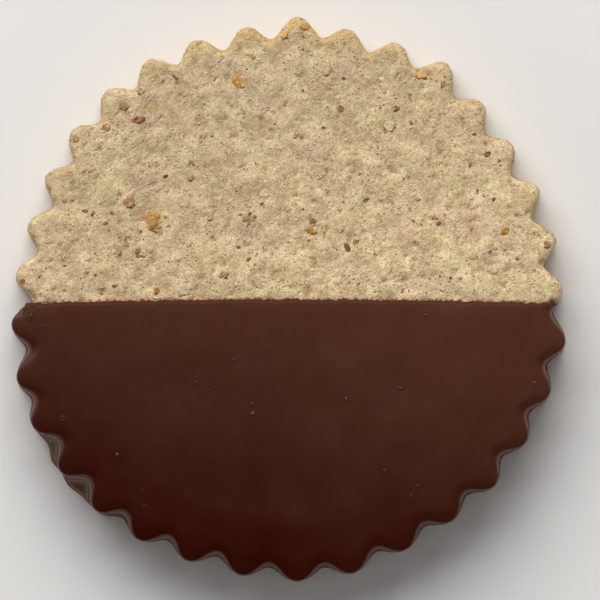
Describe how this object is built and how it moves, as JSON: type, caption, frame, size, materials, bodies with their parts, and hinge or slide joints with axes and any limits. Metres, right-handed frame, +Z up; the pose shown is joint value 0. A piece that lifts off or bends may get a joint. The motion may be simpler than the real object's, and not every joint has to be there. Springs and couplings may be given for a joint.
{
  "type": "chocolate-dipped hazelnut shortbread biscuit",
  "caption": "Thick round hazelnut shortbread biscuit with a fluted edge, one half dipped in dark chocolate, lying flat.",
  "frame": {"origin": "on the surface that the biscuit lies on, under the middle of its bounding box", "axes": "+Z up through the thickness; X runs along the dip line; +Y points to the bare edge and -Y to the chocolate edge"},
  "size_m": [0.0706, 0.0718, 0.0115],
  "materials": {
    "shortbread_crumb": "pale baked shortbread, matt and sandy, with hazelnut pieces",
    "dark_chocolate": "set dark chocolate with a soft satin shine"
  },
  "bodies": {
    "root": {"biscuit": "shortbread_crumb", "chocolate_coat": "dark_chocolate"}
  },
  "joints": []
}
